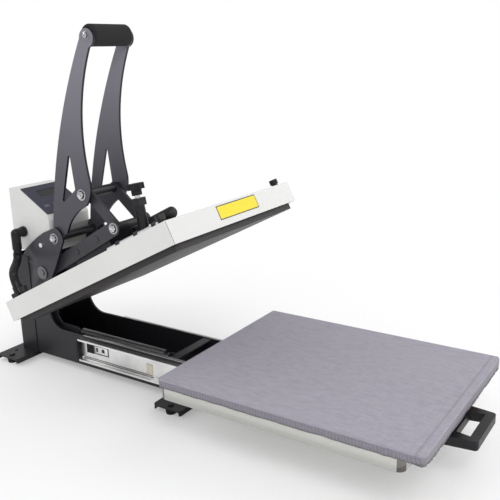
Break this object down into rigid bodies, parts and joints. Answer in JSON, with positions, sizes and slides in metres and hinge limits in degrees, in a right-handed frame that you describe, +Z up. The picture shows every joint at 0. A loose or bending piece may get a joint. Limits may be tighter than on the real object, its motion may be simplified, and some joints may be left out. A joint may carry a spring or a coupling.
{
  "type": "slide-out heat press",
  "caption": "Clamshell heat press whose padded lower table slides out on rails; a long double-arm toggle handle lowers the heated upper platen.",
  "frame": {"origin": "bench plane, midway across and midway between the pull handle's front and the rear foot bar's back, table out and platen raised", "axes": "+X operator's right, -Y front where the table slides out, +Z up"},
  "size_m": [0.403, 1.096, 0.7455],
  "materials": {
    "frame_paint": "satin dark grey paint",
    "black_paint": "satin black",
    "white_paint": "satin warm white powder coat",
    "zinc": "bright zinc",
    "chrome": "polished",
    "heater_alloy": "dark coated",
    "spring_steel": "oiled wire",
    "black_rubber": "matte",
    "foam": "matte cellular foam",
    "silicone": "matte",
    "cloth": "woven",
    "felt": "fibrous",
    "black_plastic": "fine texture",
    "panel_film": "gloss",
    "hose_plastic": "satin"
  },
  "bodies": {
    "base": {"side_plate_left": "frame_paint", "side_plate_right": "frame_paint", "front_foot_bar": "black_paint", "rear_foot_bar": "black_paint", "rubber_feet": "black_rubber", "foot_screws": "zinc", "trough_floor": "black_paint", "front_channel": "black_paint", "tower_cover": "white_paint", "control_housing": "white_paint", "control_panel": "panel_film", "handle_shaft": "black_paint", "lever_shaft": "black_paint", "handle_shaft_bolts": "chrome", "lever_shaft_caps": "zinc", "tower_screws": "zinc", "slide_fixed_left": "zinc", "slide_fixed_right": "zinc", "slide_stops": "zinc", "counter_spring": "spring_steel", "conduit_elbow": "black_plastic", "conduit_hose": "hose_plastic", "mains_inlet": "black_plastic"},
    "slide_middle": {"slide_middle_left": "zinc", "slide_middle_right": "zinc"},
    "table": {"slide_inner_left": "zinc", "slide_inner_right": "zinc", "table_bearers": "black_paint", "table_pan": "white_paint", "silicone_pad": "silicone", "cloth_cover": "cloth", "pull_handle": "black_plastic"},
    "platen": {"platen_cover": "white_paint", "heating_plate": "heater_alloy", "insulation": "felt", "heater_standoffs": "white_paint", "cover_knobs": "black_plastic", "saddle": "black_paint", "saddle_screws": "chrome", "lever_left": "frame_paint", "lever_right": "frame_paint", "lever_bolts": "chrome", "screw_post": "black_paint", "tie_rod": "chrome", "rod_collars": "black_paint", "front_buffer": "black_rubber", "spring_tail": "frame_paint", "hose_fitting": "black_plastic"},
    "screw": {"pressure_screw": "chrome", "pressure_knob": "black_plastic"},
    "handle": {"handle_arm_left": "frame_paint", "handle_arm_right": "frame_paint", "grip_tube": "zinc", "foam_grip": "foam", "link_pivot_shaft": "black_paint", "handle_bolts": "chrome", "grip_bolts": "chrome"},
    "link": {"link_left": "frame_paint", "link_right": "frame_paint", "link_shaft": "black_paint"}
  },
  "joints": [
    {"name": "table_slide", "type": "slide", "parent": "base", "child": "table", "axis": [0, 1, 0], "range_m": [0, 0.42]},
    {"name": "middle_slide", "type": "slide", "parent": "base", "child": "slide_middle", "axis": [0, 1, 0], "range_m": [0, 0.21]},
    {"name": "platen_hinge", "type": "hinge", "parent": "base", "child": "platen", "pos_m": [0, 0.43, 0.218], "axis": [1, 0, 0], "range_deg": [0, 26.72], "deforming": ["counter_spring", "conduit_hose"]},
    {"name": "handle_hinge", "type": "hinge", "parent": "base", "child": "handle", "pos_m": [0, 0.381, 0.303], "axis": [1, 0, 0], "range_deg": [0, 45.9]},
    {"name": "link_hinge", "type": "hinge", "parent": "handle", "child": "link", "pos_m": [0, 0.291, 0.407], "axis": [1, 0, 0], "range_deg": [-34.4, 0]},
    {"name": "pressure_screw_turn", "type": "hinge", "parent": "platen", "child": "screw", "pos_m": [0, 0.17124, 0.31202], "axis": [0, 0.1907, 0.9816], "range_deg": [-360, 360]}
  ],
  "couplings": [
    {"joint": "middle_slide", "follows": "table_slide", "ratio": 0.5},
    {"joint": "handle_hinge", "follows": "platen_hinge", "ratio": 1.7145},
    {"joint": "link_hinge", "follows": "platen_hinge", "ratio": -1.2834}
  ]
}
